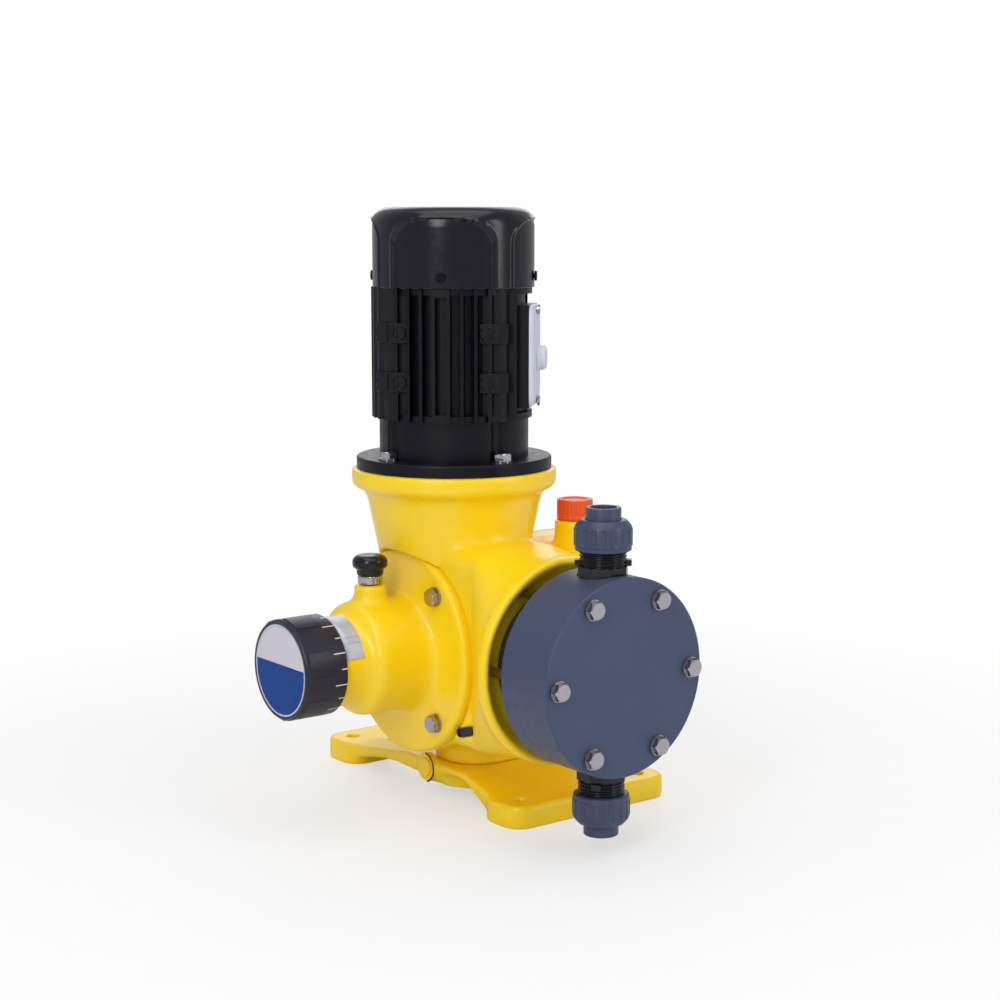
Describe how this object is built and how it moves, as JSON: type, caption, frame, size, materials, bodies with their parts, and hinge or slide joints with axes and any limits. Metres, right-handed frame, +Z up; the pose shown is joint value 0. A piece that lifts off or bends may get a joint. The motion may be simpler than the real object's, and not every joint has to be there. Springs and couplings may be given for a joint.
{
  "type": "diaphragm metering pump",
  "caption": "Mechanical diaphragm dosing pump: upright motor, worm gearbox, round plastic head with ball valves, and a side knob that sets the stroke.",
  "frame": {"origin": "centre of the four foot holes, on the plane the feet stand on", "axes": "+Z up along the motor, -Y towards the pump head, -X towards the stroke knob"},
  "size_m": [0.3074, 0.3899, 0.489],
  "materials": {
    "yellow_paint": "gloss paint on cast iron",
    "motor_paint": "satin paint on cast aluminium",
    "cowl_paint": "gloss paint on pressed steel",
    "zinc_steel": "zinc plated",
    "stainless": "polished stainless steel",
    "dark_steel": "blackened",
    "machined_steel": "turned",
    "hard_steel": "ground",
    "bearing_steel": "ground",
    "spring_steel": "shot peened",
    "core_steel": "laminated",
    "cast_iron": "machined",
    "bronze": "machined",
    "copper_winding": "varnished",
    "grey_pvc": "satin",
    "black_pvc": "satin",
    "black_plastic": "satin",
    "light_plastic": "satin",
    "orange_plastic": "gloss",
    "silver_label": "printed foil",
    "dial_label": "printed plate",
    "seal_rubber": "moulded",
    "diaphragm_ptfe": "faced rubber",
    "valve_seat_plastic": "turned",
    "ball_ceramic": "polished ceramic"
  },
  "bodies": {
    "housing": {"base_frame": "yellow_paint", "drain_plug": "yellow_paint", "base_bolts": "zinc_steel", "crankcase": "yellow_paint", "side_cover": "yellow_paint", "side_cover_bolts": "stainless", "scale_label": "silver_label", "spindle_nut": "bronze", "worm_bearings": "bearing_steel", "crank_bearings": "bearing_steel", "return_spring": "spring_steel", "guide_bush": "bronze", "rod_seal": "seal_rubber", "support_plate": "cast_iron", "diaphragm": "diaphragm_ptfe", "pump_head": "grey_pvc", "head_bolts": "stainless", "valve_seals": "seal_rubber", "motor_flange": "motor_paint", "motor_flange_bolts": "stainless", "motor_frame": "motor_paint", "terminal_cover": "light_plastic", "terminal_cover_screws": "stainless", "terminal_block": "black_plastic", "cable_plug": "light_plastic", "stator_core": "core_steel", "stator_windings": "copper_winding", "motor_bearings": "bearing_steel", "rear_end_shield": "motor_paint", "fan_cover": "cowl_paint", "fan_cover_screws": "dark_steel", "discharge_valve_body": "black_pvc", "discharge_valve_seat": "valve_seat_plastic", "discharge_union_nut": "grey_pvc", "discharge_connector": "grey_pvc", "suction_valve_body": "black_pvc", "suction_valve_seat": "valve_seat_plastic", "suction_union_nut": "grey_pvc", "suction_connector": "grey_pvc"},
    "rotor": {"motor_shaft": "machined_steel", "rotor_core": "core_steel", "cooling_fan": "black_plastic", "shaft_coupling": "machined_steel", "worm_shaft": "hard_steel"},
    "wheel": {"worm_wheel": "bronze", "crankshaft": "machined_steel", "eccentric_cams": "hard_steel"},
    "plunger": {"plunger_yoke": "machined_steel", "plunger_rod": "machined_steel", "spring_collar": "machined_steel", "diaphragm_clamp": "machined_steel"},
    "stop": {"stop_cone": "hard_steel"},
    "knob": {"stroke_knob": "black_plastic", "knob_disc": "dial_label", "stroke_spindle": "machined_steel"},
    "lock": {"lock_screw": "stainless", "lock_cap": "black_plastic"},
    "discharge_check": {"discharge_ball": "ball_ceramic"},
    "suction_check": {"suction_ball": "ball_ceramic"},
    "filler": {"oil_filler_cap": "orange_plastic"}
  },
  "joints": [
    {"name": "motor_spin", "type": "hinge", "parent": "housing", "child": "rotor", "pos_m": [-0.056, -0.025, 0.24], "axis": [0, 0, 1], "continuous": true},
    {"name": "wheel_spin", "type": "hinge", "parent": "housing", "child": "wheel", "pos_m": [-0.056, 0.015, 0.14], "axis": [1, 0, 0], "continuous": true},
    {"name": "plunger_stroke", "type": "slide", "parent": "housing", "child": "plunger", "axis": [0, 1, 0], "range_m": [0, 0.004], "deforming": ["return_spring", "diaphragm"]},
    {"name": "stop_travel", "type": "slide", "parent": "housing", "child": "stop", "axis": [-1, 0, 0], "range_m": [-0.015, 0]},
    {"name": "knob_turn", "type": "hinge", "parent": "stop", "child": "knob", "pos_m": [-0.056, -0.025, 0.13], "axis": [-1, 0, 0], "range_deg": [-3600, 0]},
    {"name": "lock_turn", "type": "hinge", "parent": "housing", "child": "lock", "pos_m": [-0.14, -0.025, 0.18], "axis": [0, 0, 1], "range_deg": [0, 180]},
    {"name": "discharge_ball_lift", "type": "slide", "parent": "housing", "child": "discharge_check", "axis": [0, 0, 1], "range_m": [0, 0.003]},
    {"name": "suction_ball_lift", "type": "slide", "parent": "housing", "child": "suction_check", "axis": [0, 0, 1], "range_m": [0, 0.003]},
    {"name": "filler_cap_turn", "type": "hinge", "parent": "housing", "child": "filler", "pos_m": [0.036, -0.07, 0.235], "axis": [0, 0, 1], "range_deg": [0, 360]}
  ],
  "couplings": [
    {"joint": "wheel_spin", "follows": "motor_spin", "ratio": 0.05},
    {"joint": "stop_travel", "follows": "knob_turn", "m_per_rad": 0.0002387}
  ]
}
